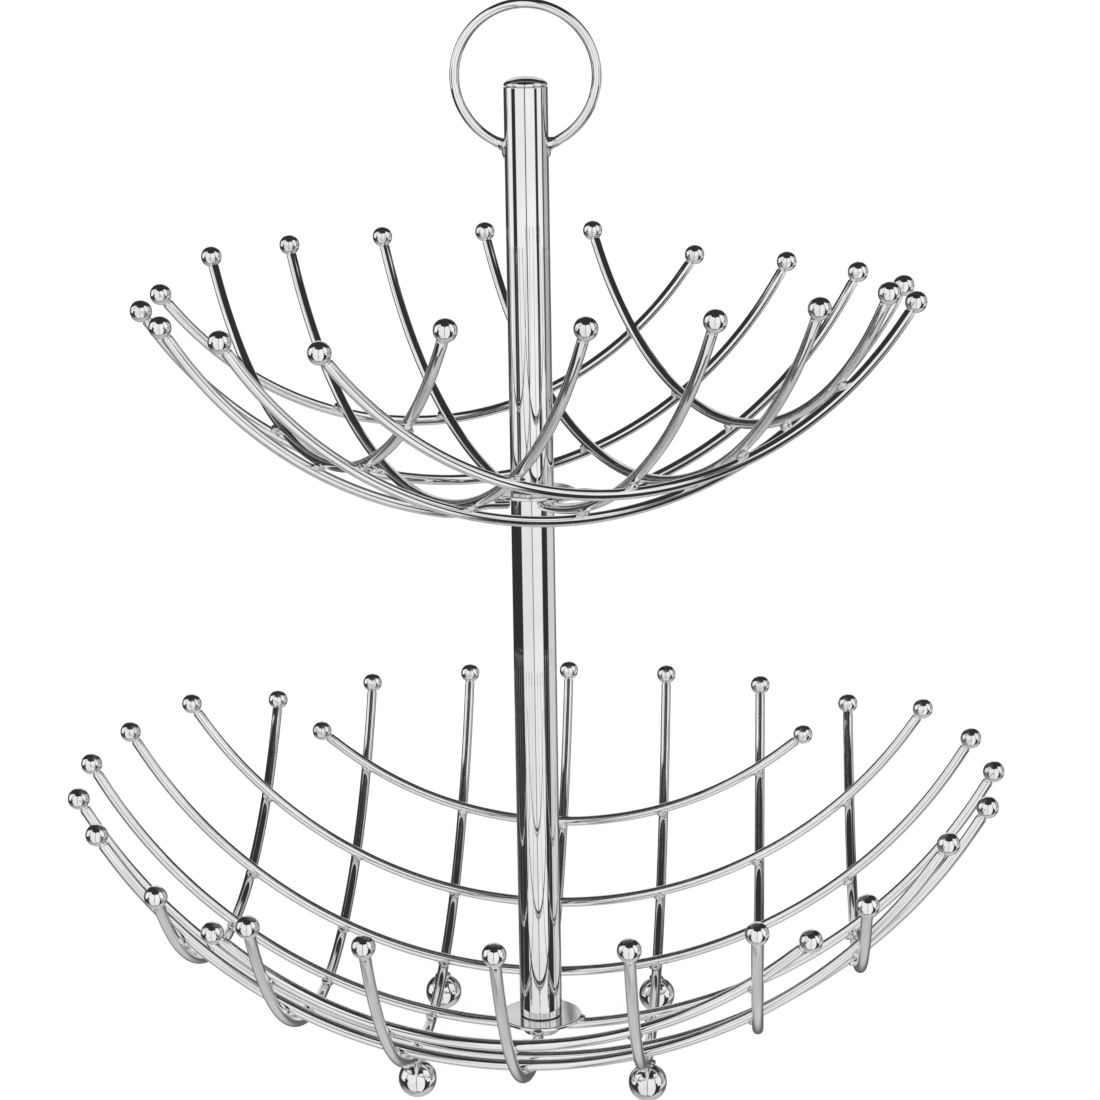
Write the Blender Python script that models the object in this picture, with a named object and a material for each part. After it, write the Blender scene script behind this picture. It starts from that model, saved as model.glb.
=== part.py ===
"""Two-tier wire fruit stand, chromed steel.

Each bowl is a square grid of round wires formed over a spherical dish.  The
wires of one layer rest on the wires of the other, every free end carries a
ball, and the centre wires are cut in two and welded under a round disc.  A
bolt holds the lower disc to the lower tube.  A stud joins the two tubes and
clamps the upper disc between them.

The frame has +Z up.  Its origin is on the floor, on the axis of the stem.
"""

import math

import bmesh
import bpy
from mathutils import Matrix, Vector

MM = 0.001
GAP = 0.3 * MM

# Wire and balls
WIRE_R = 2.0 * MM
BALL_R = 4.0 * MM
WIRE_SIDES = 8
WIRE_PITCH = 43.0 * MM
BALL_NECK = 6.0 * MM
STATION_STEP = 21.5 * MM

# Bowls: radius of the dish that the inner wires follow, and how far out the balls stand
LOWER_DISH_R = 192.0 * MM
LOWER_RIM_R = 170.0 * MM
LOWER_ROWS = 7
LOWER_SHORT_REACH = 101.0 * MM
UPPER_DISH_R = 157.0 * MM
UPPER_RIM_R = 139.0 * MM
UPPER_ROWS = 5
UPPER_TURN = math.radians(-60.0)

# Hub: the discs and the inner ends of the cut wires
DISC_R = 15.5 * MM
DISC_THICK = 1.5 * MM
DISC_HOLE_R = 4.3 * MM
CUT_WIRE_START = 9.8 * MM
JOGGLE_INNER = 17.0 * MM
JOGGLE_OUTER = 35.0 * MM

# Feet
FOOT_R = 7.0 * MM
FOOT_FLAT_R = 1.5 * MM

# Stem
TUBE_R = 8.0 * MM
TUBE_WALL = 1.0 * MM
LOWER_TUBE_LENGTH = 203.0 * MM
UPPER_TUBE_LENGTH = 146.0 * MM
PLUG_LENGTH = 12.0 * MM
THREAD_R = 3.9 * MM
THREAD_CHAMFER = 0.8 * MM
THREAD_HOLE_R = 4.2 * MM
STUD_DEPTH = 10.0 * MM

# Base bolt, an M8 hexagon head
BOLT_FLATS = 13.0 * MM
BOLT_HEAD = 5.3 * MM
BOLT_CHAMFER = 1.1 * MM
BOLT_DEPTH = 10.5 * MM

# Domed cap
CAP_BAND = 1.2 * MM
CAP_DOME_R = 16.0 * MM
CAP_SPIGOT = 6.0 * MM

# Ring handle
RING_R = 25.4 * MM
RING_WIRE_R = 1.8 * MM
RING_END_STANDOFF = 1.0 * MM

# How finely the round pieces are divided
ROUND_STEPS = 32
SMALL_ROUND_STEPS = 24
FOOT_STEPS = 12
FOOT_RINGS = 7
DOME_RINGS = 5
RING_STEPS = 28
BALL_RINGS = (-60.0, -30.0, 0.0, 30.0, 60.0)
SHARP_ANGLE = 40.0
FLATS_SHARP_ANGLE = 25.0
FOOT_SHARP_ANGLE = 60.0

# Worked out from the sizes above
LAYER_STEP = 2.0 * WIRE_R + GAP
PLUG_R = TUBE_R - TUBE_WALL - GAP


def clear_scene():
    """Remove everything that the default file holds."""
    for thing in list(bpy.data.objects):
        bpy.data.objects.remove(thing)


def chrome(name, colour, roughness):
    """A metal material of its own for one piece."""
    material = bpy.data.materials.new(name)
    material.use_nodes = True
    shader = material.node_tree.nodes["Principled BSDF"]
    shader.inputs["Base Color"].default_value = colour
    shader.inputs["Metallic"].default_value = 1.0
    shader.inputs["Roughness"].default_value = roughness
    return material


def bright_chrome(name):
    """Polished chrome plate."""
    return chrome(name, (0.80, 0.81, 0.82, 1.0), 0.06)


def plain_steel(name):
    """Unpolished zinc-plated steel, for the hidden fittings."""
    return chrome(name, (0.62, 0.62, 0.60, 1.0), 0.35)


def add_object(name, bm, parent, material, sharp_angle=SHARP_ANGLE):
    """Finish a mesh, shade it and hang it on its parent."""
    bmesh.ops.recalc_face_normals(bm, faces=bm.faces)
    mesh = bpy.data.meshes.new(name)
    bm.to_mesh(mesh)
    bm.free()
    mesh.shade_smooth()
    mesh.set_sharp_from_angle(angle=math.radians(sharp_angle))
    mesh.materials.append(material)
    piece = bpy.data.objects.new(name, mesh)
    bpy.context.scene.collection.objects.link(piece)
    piece.parent = parent
    return piece


def add_empty(name, height, turn, parent=None):
    """An empty on the stem's axis, which carries the pieces that move together."""
    empty = bpy.data.objects.new(name, None)
    bpy.context.scene.collection.objects.link(empty)
    empty.location.z = height
    empty.rotation_euler.z = turn
    empty.parent = parent
    return empty


def turned(profile, closed, steps=ROUND_STEPS):
    """Turn a profile of (radius, height) points about Z.

    A closed profile makes a ring with a hole; an open one starts and ends on the axis.
    """
    bm = bmesh.new()
    verts = [bm.verts.new((radius, 0.0, height)) for radius, height in profile]
    edges = [bm.edges.new(pair) for pair in zip(verts, verts[1:])]
    if closed:
        edges.append(bm.edges.new((verts[-1], verts[0])))
    bmesh.ops.spin(
        bm,
        geom=verts + edges,
        cent=(0.0, 0.0, 0.0),
        axis=(0.0, 0.0, 1.0),
        angle=2.0 * math.pi,
        steps=steps,
        use_merge=True,
    )
    bmesh.ops.remove_doubles(bm, verts=bm.verts, dist=1e-6)
    return bm


def swept(stations, sides=WIRE_SIDES, start_point=None, end_point=None):
    """Skin rings along a path.

    Each station is (centre, first side direction, second side direction, radius).
    A start or end point closes that end to a tip; without one it is a flat end.
    """
    bm = bmesh.new()
    rings = []
    for centre, across, over, radius in stations:
        ring = []
        for index in range(sides):
            angle = 2.0 * math.pi * index / sides
            offset = across * math.cos(angle) + over * math.sin(angle)
            ring.append(bm.verts.new(centre + offset * radius))
        rings.append(ring)
    for ring, following in zip(rings, rings[1:]):
        for index in range(sides):
            beside = (index + 1) % sides
            bm.faces.new((ring[index], ring[beside], following[beside], following[index]))
    for ring, point in ((rings[0], start_point), (rings[-1], end_point)):
        if point is None:
            bm.faces.new(ring)
            continue
        tip = bm.verts.new(point)
        for index in range(sides):
            bm.faces.new((ring[index], ring[(index + 1) % sides], tip))
    return bm


def add_turned(name, profile, parent, material, closed=True, steps=ROUND_STEPS):
    """Turn a profile and add it as a piece."""
    return add_object(name, turned(profile, closed, steps), parent, material)


def grid_offsets(rows, dish_r):
    """Where the wires of one layer stand, at an even pitch along the dish."""
    middle = (rows - 1) / 2.0
    return [dish_r * math.sin((row - middle) * WIRE_PITCH / dish_r) for row in range(rows)]


def smooth_step(value):
    """Ease from 0 to 1."""
    clipped = min(max(value, 0.0), 1.0)
    return clipped * clipped * (3.0 - 2.0 * clipped)


class Layer:
    """One layer of a bowl: parallel wires on a sphere centred above the bowl.

    A wire runs along the layer's own X at a constant Y offset.  Heights are
    measured from the lowest point of the inner layer's wire axes.
    """

    def __init__(self, dish_r, rim_r, rows, outer):
        self.dish_r = dish_r
        self.rim_r = rim_r
        self.offsets = grid_offsets(rows, dish_r)
        self.outer = outer

    def sphere_r(self, along, offset):
        """The outer layer lies one wire below, but its cut wires step up at the hub."""
        if not self.outer:
            return self.dish_r
        if offset != 0.0:
            return self.dish_r + LAYER_STEP
        ramp = (abs(along) - JOGGLE_INNER) / (JOGGLE_OUTER - JOGGLE_INNER)
        return self.dish_r + LAYER_STEP * smooth_step(ramp)

    def point(self, along, offset):
        """A point of a wire's axis."""
        radius = self.sphere_r(along, offset)
        height = self.dish_r - math.sqrt(radius**2 - along**2 - offset**2)
        return Vector((along, offset, height))

    def tangent(self, along, offset):
        """The direction of a wire's axis."""
        nearby = 0.1 * MM
        return (self.point(along + nearby, offset) - self.point(along - nearby, offset)).normalized()

    def reach(self, offset):
        """How far out a wire's ball stands, on the round rim."""
        return math.sqrt(self.rim_r**2 - offset**2)

    def stops(self, start, end, cut):
        """Station positions: every crossing, the two ends and even steps between them."""
        marks = [start] + [mark for mark in self.offsets if start < mark < end] + [end]
        if cut:
            marks = sorted(marks + [JOGGLE_INNER, JOGGLE_OUTER])
        result = [marks[0]]
        for low, high in zip(marks, marks[1:]):
            pieces = max(1, round((high - low) / STATION_STEP))
            for piece in range(1, pieces + 1):
                result.append(low + (high - low) * piece / pieces)
        return result


def ball_stations(centre, outward):
    """Rings of an end ball, from its neck to near its tip, and the tip itself."""
    across = Vector((0.0, 1.0, 0.0))
    over = outward.cross(across)
    rings = []
    for degrees in BALL_RINGS:
        angle = math.radians(degrees)
        middle = centre + outward * (BALL_R * math.sin(angle))
        rings.append((middle, across, over, BALL_R * math.cos(angle)))
    return rings, centre + outward * BALL_R


def wire_mesh(layer, offset, reach, cut=False):
    """A wire with a ball at each end, or from the hub to one ball if it is cut."""
    neck = reach - BALL_NECK
    start = CUT_WIRE_START if cut else -neck
    stations = []
    for along in layer.stops(start, neck, cut):
        across = Vector((0.0, 1.0, 0.0))
        over = layer.tangent(along, offset).cross(across)
        stations.append((layer.point(along, offset), across, over, WIRE_R))
    start_tip = None
    if not cut:
        outward = -layer.tangent(-reach, offset)
        rings, start_tip = ball_stations(layer.point(-reach, offset), outward)
        rings = [(middle, across, -over, radius) for middle, across, over, radius in rings]
        stations = list(reversed(rings)) + stations
    rings, end_tip = ball_stations(layer.point(reach, offset), layer.tangent(reach, offset))
    return swept(stations + rings, start_point=start_tip, end_point=end_tip)


def bowl_wires(prefix, parent, dish_r, rim_r, rows, short_reach=None):
    """Both layers of a bowl.  Cross wires run along X and lie on top of the long wires."""
    middle = (rows - 1) // 2
    kinds = (("cross", 0.0, ("right", "left")), ("long", math.pi / 2.0, ("back", "front")))
    for kind, turn, halves in kinds:
        layer = Layer(dish_r, rim_r, rows, outer=kind == "long")
        for row, offset in enumerate(layer.offsets):
            name = f"{prefix}_{kind}_wire_{row + 1}"
            if row == middle:
                for half, side in enumerate(halves):
                    piece_name = f"{name}_{side}"
                    bm = wire_mesh(layer, 0.0, rim_r, cut=True)
                    piece = add_object(piece_name, bm, parent, bright_chrome(piece_name))
                    piece.rotation_euler.z = turn + half * math.pi
                continue
            reach = layer.reach(offset)
            if kind == "cross" and short_reach and row in (0, rows - 1):
                reach = short_reach
            piece = add_object(name, wire_mesh(layer, offset, reach), parent, bright_chrome(name))
            piece.rotation_euler.z = turn


def ring_profile(inner_r, outer_r, bottom, top):
    """The section of a plain tube, washer or bush."""
    return [(inner_r, bottom), (outer_r, bottom), (outer_r, top), (inner_r, top)]


def rod_profile(radius, bottom, top, chamfer):
    """The half section of a plain rod with chamfered ends."""
    return [
        (0.0, bottom),
        (radius - chamfer, bottom),
        (radius, bottom + chamfer),
        (radius, top - chamfer),
        (radius - chamfer, top),
        (0.0, top),
    ]


def foot_centre_height():
    """Height of a foot's centre when its small flat is on the floor."""
    return math.sqrt(FOOT_R**2 - FOOT_FLAT_R**2)


def foot_mesh():
    """A ball foot with a small flat underneath."""
    centre = foot_centre_height()
    lowest = math.asin(-centre / FOOT_R)
    profile = [(0.0, 0.0)]
    for step in range(FOOT_RINGS):
        angle = lowest + (math.pi / 2.0 - lowest) * step / FOOT_RINGS
        profile.append((FOOT_R * math.cos(angle), centre + FOOT_R * math.sin(angle)))
    profile.append((0.0, centre + FOOT_R))
    return turned(profile, closed=False, steps=FOOT_STEPS)


def first_crossing():
    """Offset of the wires next to the lower bowl's centre wires."""
    return grid_offsets(LOWER_ROWS, LOWER_DISH_R)[LOWER_ROWS // 2 + 1]


def dish_height_on_feet():
    """Height of the inner layer's lowest wire axis when the long wires rest on the feet."""
    spot = first_crossing()
    sphere_r = LOWER_DISH_R + LAYER_STEP
    drop = math.sqrt(sphere_r**2 - 2.0 * spot**2)
    slope = math.atan2(spot, drop)
    wire_axis = foot_centre_height() + (FOOT_R + WIRE_R + GAP) / math.cos(slope)
    return wire_axis + drop - LOWER_DISH_R


def disc_underside(dish_r):
    """Height of a disc's underside above its bowl's inner wire axes.

    The disc rests on the four cut wires.
    """
    drop = math.sqrt(dish_r**2 - DISC_R**2)
    slope = math.atan2(DISC_R, drop)
    return dish_r - drop + WIRE_R / math.cos(slope) + GAP


def bolt_head_mesh(top):
    """The hexagon head, with a smaller hexagon underneath that chamfers its lower edge."""
    corner_r = BOLT_FLATS / 2.0 / math.cos(math.pi / 6.0)
    bm = bmesh.new()
    levels = (
        (corner_r, top),
        (corner_r, top - BOLT_HEAD + BOLT_CHAMFER),
        (corner_r - BOLT_CHAMFER, top - BOLT_HEAD),
    )
    rings = []
    for radius, height in levels:
        circle = bmesh.ops.create_circle(
            bm, segments=6, radius=radius, matrix=Matrix.Translation((0.0, 0.0, height))
        )
        rings.append(circle["verts"])
    for upper, lower in zip(rings, rings[1:]):
        for index in range(6):
            beside = (index + 1) % 6
            bm.faces.new((upper[index], upper[beside], lower[beside], lower[index]))
    bm.faces.new(rings[0])
    bm.faces.new(rings[-1])
    bmesh.ops.recalc_face_normals(bm, faces=bm.faces)
    return bm


def add_base_bolt(parent, head_top):
    """The bolt from under the lower disc into the lower tube: head and shank in one solid."""
    name = "base_bolt"
    bolt = add_object(name, bolt_head_mesh(head_top), parent, plain_steel(name), FLATS_SHARP_ANGLE)
    shank_top = head_top + GAP + DISC_THICK + GAP + BOLT_DEPTH
    profile = rod_profile(THREAD_R, head_top - BOLT_HEAD / 2.0, shank_top, THREAD_CHAMFER)
    shank_mesh = turned(profile, closed=False, steps=SMALL_ROUND_STEPS)
    shank = add_object("base_bolt_shank", shank_mesh, parent, plain_steel("base_bolt_shank"))
    shank.hide_render = True
    shank.display_type = "WIRE"
    union = bolt.modifiers.new("shank", "BOOLEAN")
    union.operation = "UNION"
    union.solver = "EXACT"
    union.object = shank


def add_cap(parent, tube_top):
    """The domed cap: a dome and a narrow band outside, a spigot inside the tube."""
    seat = tube_top + GAP
    edge = seat + CAP_BAND
    edge_drop = math.sqrt(CAP_DOME_R**2 - TUBE_R**2)
    widest = math.asin(TUBE_R / CAP_DOME_R)
    spigot_end = tube_top - CAP_SPIGOT
    profile = [(0.0, spigot_end), (PLUG_R, spigot_end), (PLUG_R, seat), (TUBE_R, seat)]
    for step in range(DOME_RINGS):
        angle = widest * (1.0 - step / DOME_RINGS)
        height = edge + CAP_DOME_R * math.cos(angle) - edge_drop
        profile.append((CAP_DOME_R * math.sin(angle), height))
    top = edge + CAP_DOME_R - edge_drop
    profile.append((0.0, top))
    name = "top_cap"
    add_turned(name, profile, parent, bright_chrome(name), closed=False)
    return top


def add_ring_handle(parent, centre_height):
    """A wire ring in the XZ plane whose two ends meet the sides of the tube."""
    half_gap = math.asin((TUBE_R + RING_END_STANDOFF) / RING_R)
    over = Vector((0.0, 1.0, 0.0))
    stations = []
    for step in range(RING_STEPS + 1):
        angle = -math.pi / 2.0 + half_gap + (2.0 * math.pi - 2.0 * half_gap) * step / RING_STEPS
        outward = Vector((math.cos(angle), 0.0, math.sin(angle)))
        centre = outward * RING_R + Vector((0.0, 0.0, centre_height))
        stations.append((centre, outward, over, RING_WIRE_R))
    add_object("ring_handle", swept(stations), parent, bright_chrome("ring_handle"))


def add_feet(parent):
    """Four ball feet, under the crossings nearest to the hub."""
    spot = first_crossing()
    for depth, y_sign in (("front", -1.0), ("back", 1.0)):
        for side, x_sign in (("left", -1.0), ("right", 1.0)):
            name = f"foot_{depth}_{side}"
            foot = add_object(name, foot_mesh(), parent, bright_chrome(name), FOOT_SHARP_ANGLE)
            foot.location = (x_sign * spot, y_sign * spot, 0.0)


def add_plug(name, parent, bottom):
    """A threaded bush pressed into the end of a tube."""
    profile = ring_profile(THREAD_HOLE_R, PLUG_R, bottom, bottom + PLUG_LENGTH)
    add_turned(name, profile, parent, plain_steel(name), steps=SMALL_ROUND_STEPS)


def add_disc(name, parent, bottom):
    """A hub disc with its bolt hole."""
    profile = ring_profile(DISC_HOLE_R, DISC_R, bottom, bottom + DISC_THICK)
    add_turned(name, profile, parent, bright_chrome(name))


def add_tube(name, parent, bottom, length):
    """A stem tube, open at both ends."""
    profile = ring_profile(TUBE_R - TUBE_WALL, TUBE_R, bottom, bottom + length)
    add_turned(name, profile, parent, bright_chrome(name))


def main():
    """Build the stand from the floor up."""
    clear_scene()
    stand = add_empty("stand", 0.0, 0.0)

    lower_axis = dish_height_on_feet()
    lower_bowl = add_empty("lower_bowl", lower_axis, 0.0, stand)
    bowl_wires("lower", lower_bowl, LOWER_DISH_R, LOWER_RIM_R, LOWER_ROWS, LOWER_SHORT_REACH)
    add_feet(stand)

    disc_bottom = lower_axis + disc_underside(LOWER_DISH_R)
    tube_bottom = disc_bottom + DISC_THICK + GAP
    tube_top = tube_bottom + LOWER_TUBE_LENGTH
    add_disc("lower_disc", stand, disc_bottom)
    add_base_bolt(stand, disc_bottom - GAP)
    add_tube("lower_tube", stand, tube_bottom, LOWER_TUBE_LENGTH)
    add_plug("lower_tube_bottom_plug", stand, tube_bottom)
    add_plug("lower_tube_top_plug", stand, tube_top - PLUG_LENGTH)

    upper_disc_bottom = tube_top + GAP
    upper_axis = upper_disc_bottom - disc_underside(UPPER_DISH_R)
    upper_bowl = add_empty("upper_bowl", upper_axis, UPPER_TURN, stand)
    bowl_wires("upper", upper_bowl, UPPER_DISH_R, UPPER_RIM_R, UPPER_ROWS)
    add_disc("upper_disc", upper_bowl, upper_disc_bottom - upper_axis)

    stem_bottom = upper_disc_bottom + DISC_THICK + GAP
    stud = add_empty("stud", stem_bottom, 0.0, stand)
    stud_bottom = -2.0 * GAP - DISC_THICK - STUD_DEPTH
    profile = rod_profile(THREAD_R, stud_bottom, STUD_DEPTH, THREAD_CHAMFER)
    material = plain_steel("joining_stud")
    add_turned("joining_stud", profile, stud, material, closed=False, steps=SMALL_ROUND_STEPS)

    upper_stem = add_empty("upper_stem", 0.0, 0.0, stud)
    add_tube("upper_tube", upper_stem, 0.0, UPPER_TUBE_LENGTH)
    add_plug("upper_tube_plug", upper_stem, 0.0)
    cap_top = add_cap(upper_stem, UPPER_TUBE_LENGTH)
    add_ring_handle(upper_stem, cap_top)


main()
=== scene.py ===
"""The looks of the two-tier wire fruit stand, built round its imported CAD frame.

Every CAD node gets a finer piece of its own: round wires that run smoothly into
their balls, discs and tubes with rounded edges, a domed cap, a hexagon bolt and
threads.  The welds at the crossings, the hubs, the feet and the ring are added.
The finish is chrome plate on all but the fittings inside the tubes.
"""

import math
from itertools import product

import bmesh
import bpy
from mathutils import Matrix, Vector, noise


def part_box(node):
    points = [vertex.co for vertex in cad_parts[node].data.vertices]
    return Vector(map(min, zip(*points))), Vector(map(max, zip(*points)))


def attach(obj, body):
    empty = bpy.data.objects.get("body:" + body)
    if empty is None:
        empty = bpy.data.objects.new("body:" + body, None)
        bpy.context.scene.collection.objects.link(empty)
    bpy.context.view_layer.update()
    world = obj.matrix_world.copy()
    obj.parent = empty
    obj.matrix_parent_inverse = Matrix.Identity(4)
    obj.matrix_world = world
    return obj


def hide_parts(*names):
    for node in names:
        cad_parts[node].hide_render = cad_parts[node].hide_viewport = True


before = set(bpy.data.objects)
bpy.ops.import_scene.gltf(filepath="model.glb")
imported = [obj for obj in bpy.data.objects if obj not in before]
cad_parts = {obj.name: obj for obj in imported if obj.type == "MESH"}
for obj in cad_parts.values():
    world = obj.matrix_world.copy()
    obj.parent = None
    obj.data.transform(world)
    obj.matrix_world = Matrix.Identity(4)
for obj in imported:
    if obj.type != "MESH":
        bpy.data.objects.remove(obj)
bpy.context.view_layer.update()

MM = 0.001
X_AXIS = Vector((1.0, 0.0, 0.0))
Y_AXIS = Vector((0.0, 1.0, 0.0))
Z_AXIS = Vector((0.0, 0.0, 1.0))

# Sizes that the pieces share with the CAD
WIRE_R = 2.0 * MM
BALL_R = 4.0 * MM
WIRE_PITCH = 43.0 * MM
LAYER_STEP = 4.3 * MM
CUT_WIRE_START = 9.8 * MM
JOGGLE_INNER = 17.0 * MM
JOGGLE_OUTER = 35.0 * MM
LOWER_DISH_R = 192.0 * MM
LOWER_RIM_R = 170.0 * MM
LOWER_SHORT_REACH = 101.0 * MM
LOWER_ROWS = 7
UPPER_DISH_R = 157.0 * MM
UPPER_RIM_R = 139.0 * MM
UPPER_ROWS = 5
UPPER_TURN = math.radians(-60.0)
GAP = 0.3 * MM
FOOT_FLAT_R = 1.5 * MM
TUBE_WALL = 1.0 * MM
BOLT_FLATS = 13.0 * MM
BOLT_HEAD = 5.3 * MM
DISC_HOLE_R = 4.3 * MM
THREAD_R = 3.9 * MM
THREAD_HOLE_R = 4.2 * MM
RING_R = 25.4 * MM
RING_WIRE_R = 1.8 * MM
RING_END_STANDOFF = 1.0 * MM

# Sizes of the details that only the looks have
NECK_R = 1.6 * MM
NECK_LENGTH = 0.5 * MM
SHOULDER_R = 0.35 * MM
SHOULDER_START = 2.0 * MM
EDGE_R = 0.35 * MM
DISC_EDGE_R = 0.5 * MM
CAP_LIP_R = 0.2 * MM
BOLT_FACE_SHARE = 0.95
BOLT_CHAMFER_ANGLE = 30.0
THREAD_PITCH = 1.25 * MM
THREAD_DEPTH = 0.65 * MM
THREAD_FLANK = 1.15

# Half sizes of the beads of weld, along the surface twice and out of it
CROSSING_WELD = (2.5 * MM, 2.5 * MM, 1.25 * MM)
RIM_WELD = (1.6 * MM, 2.2 * MM, 1.1 * MM)
FOOT_WELD = (2.9 * MM, 3.4 * MM, 1.7 * MM)

# The ring's welds: a flare round each end of the wire, and a run of weld down the tube
RING_WELD_LENGTH = 2.6 * MM
RING_WELD_R = 2.7 * MM
RING_WELD_TUCK = 1.5 * MM
RING_WELD_LUMPS = 0.35 * MM
RING_RUN = (0.9 * MM, 1.9 * MM, 3.2 * MM)
RING_RUN_DROP = 1.4 * MM

# How lumpy the welds are, and where each kind starts in the noise
WELD_LUMPS = 0.22
WELD_LUMP_SIZE = 1.1 * MM
SEED_STRIDES = (7.31, 3.17, 1.93)
RIM_SEED = 100
FOOT_SEED = 200
RING_SEED = 300

# How finely the pieces are divided
WIRE_SIDES = 32
WIRE_STEP = 2.5 * MM
BALL_RINGS = 20
ROUND_STEPS = 96
FOOT_RINGS = 36
DOME_RINGS = 24
EDGE_STEPS = 5
EDGE_SUPPORT = 0.12 * MM
LONG_STRAIGHT = 4.0 * EDGE_SUPPORT
TANGENT_STEP = 0.05 * MM
MERGE_DISTANCE = 1e-7
RING_STEPS = 120
RING_WELD_RINGS = 14
THREAD_SIDES = 64
THREAD_RINGS_PER_TURN = 10
WELD_SUBDIVISIONS = 3

# Edges that turn by more than these angles, in degrees, are shown sharp
SHARP_ANGLE = 35.0
FOOT_SHARP_ANGLE = 60.0
BOLT_SHARP_ANGLE = 25.0
CAP_SHARP_ANGLE = 30.0

WHITE = (1.0, 1.0, 1.0, 1.0)

# Colours of the metals, as (position, colour) stops along their clouds, the dullest first
CHROME_TONES = ((0.30, (0.79, 0.79, 0.795)), (0.62, (0.87, 0.87, 0.875)))
WELD_TONES = ((0.30, (0.52, 0.52, 0.53)), (0.60, (0.82, 0.825, 0.835)))
ZINC_TONES = ((0.30, (0.56, 0.56, 0.53)), (0.65, (0.70, 0.70, 0.68)))
STEEL_TONES = ((0.30, (0.44, 0.43, 0.41)), (0.65, (0.60, 0.59, 0.57)))

# Finishes as the lowest and highest roughness, and how strong the pits in the chrome are
WIRE_POLISH = (0.02, 0.05)
WIRE_PITS = 0.06
TUBE_POLISH = (0.01, 0.03)
TUBE_PITS = 0.05
DISC_POLISH = (0.10, 0.16)
DISC_PITS = 0.08
CAP_POLISH = (0.03, 0.06)
WELD_POLISH = (0.08, 0.20)
STEEL_POLISH = (0.24, 0.40)
STEEL_ANISOTROPY = 0.5

# Noise in the finishes, as (cells to a metre, detail, roughness)
CHROME_CLOUDS = (38.0, 4.0, 0.5)
CHROME_GRAIN = (2600.0, 3.0, 0.6)
CHROME_RIPPLE = (130.0, 1.0, 0.5)
WELD_CLOUDS = (420.0, 4.0, 0.5)
WELD_GRAIN = (1900.0, 4.0, 0.65)
STEEL_CLOUDS = (210.0, 5.0, 0.5)
LENGTHWISE_LINES = (900.0, 3.0, 0.6)
LENGTHWISE_STRETCH = 0.02

# The share of a noise's values that is spread over a range of gloss
GLOSS_SPREAD = (0.3, 0.7)
CHROME_SPREAD = (0.35, 0.65)

# Waves in the finishes
RING_LINES = {"Scale": 520.0, "Distortion": 2.0, "Detail": 3.0, "Detail Scale": 2.0}
LATHE_MARKS = {"Scale": 900.0, "Distortion": 1.5, "Detail": 2.0, "Detail Scale": 3.0}

# Bumps as (depth in metres, strength)
CHROME_RIPPLE_BUMP = (0.00012, 0.05)
CHROME_PIT_DEPTH = 0.00001
CHROME_LINE_BUMP = (0.00001, 0.12)
WELD_CLOUD_BUMP = (0.0002, 0.30)
WELD_GRAIN_BUMP = (0.00004, 0.25)
LATHE_MARK_BUMP = (0.00002, 0.35)
STEEL_CLOUD_BUMP = (0.00003, 0.10)

# Where the photograph was taken from
CAMERA_PLACE = Vector((86.4, -1001.4, 428.3)) * MM
CAMERA_YAW = math.radians(4.58)
CAMERA_DOWN = math.radians(12.92)
CAMERA_ROLL = math.radians(-0.89)
CAMERA_LENS = 91.45
CAMERA_SENSOR = 36.0

# The studio that the chrome reflects.  Each wall is a list of (start angle, grey) bands.
# The angles run round the object in degrees: 0 is the camera's side, and positive angles
# are to the right as the camera sees it.  The middle walls stand above WALL_CHANGE degrees
# from the horizon, the high ones above HIGH_WALL_CHANGE, and the low ones below both.
HIGH_WALLS = (
    (-180.0, 0.74),
    (-160.0, 0.05),
    (-122.0, 0.45),
    (-112.0, 1.0),
    (-72.0, 0.16),
    (-67.0, 0.96),
    (-5.5, 0.10),
    (-2.0, 1.0),
    (44.0, 0.12),
    (49.0, 1.0),
    (92.0, 0.10),
    (100.0, 0.55),
    (132.0, 0.12),
    (160.0, 0.74),
)
MIDDLE_WALLS = (
    (-180.0, 0.95),
    (-160.0, 0.05),
    (-120.0, 0.45),
    (-108.0, 1.0),
    (-80.0, 0.035),
    (-57.0, 0.98),
    (-8.5, 0.06),
    (-3.5, 1.02),
    (44.5, 0.04),
    (59.0, 1.0),
    (85.0, 0.10),
    (96.0, 0.50),
    (128.0, 0.12),
    (160.0, 0.95),
)
LOW_WALLS = (
    (-180.0, 0.60),
    (-164.0, 0.035),
    (-63.0, 0.90),
    (-7.0, 0.24),
    (-2.5, 0.96),
    (46.0, 0.035),
    (80.0, 0.76),
    (132.0, 0.30),
    (146.0, 0.12),
    (164.0, 0.60),
)
TABLE_NEAR = (
    (-180.0, 0.60),
    (-125.0, 0.42),
    (-70.0, 0.68),
    (-20.0, 0.58),
    (40.0, 0.70),
    (100.0, 0.56),
    (150.0, 0.64),
)
TABLE_FAR = (
    (-180.0, 0.14),
    (-100.0, 0.30),
    (-60.0, 0.60),
    (60.0, 0.34),
    (110.0, 0.14),
)
WALL_CHANGE = -11.5
HIGH_WALL_CHANGE = 3.0

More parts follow.
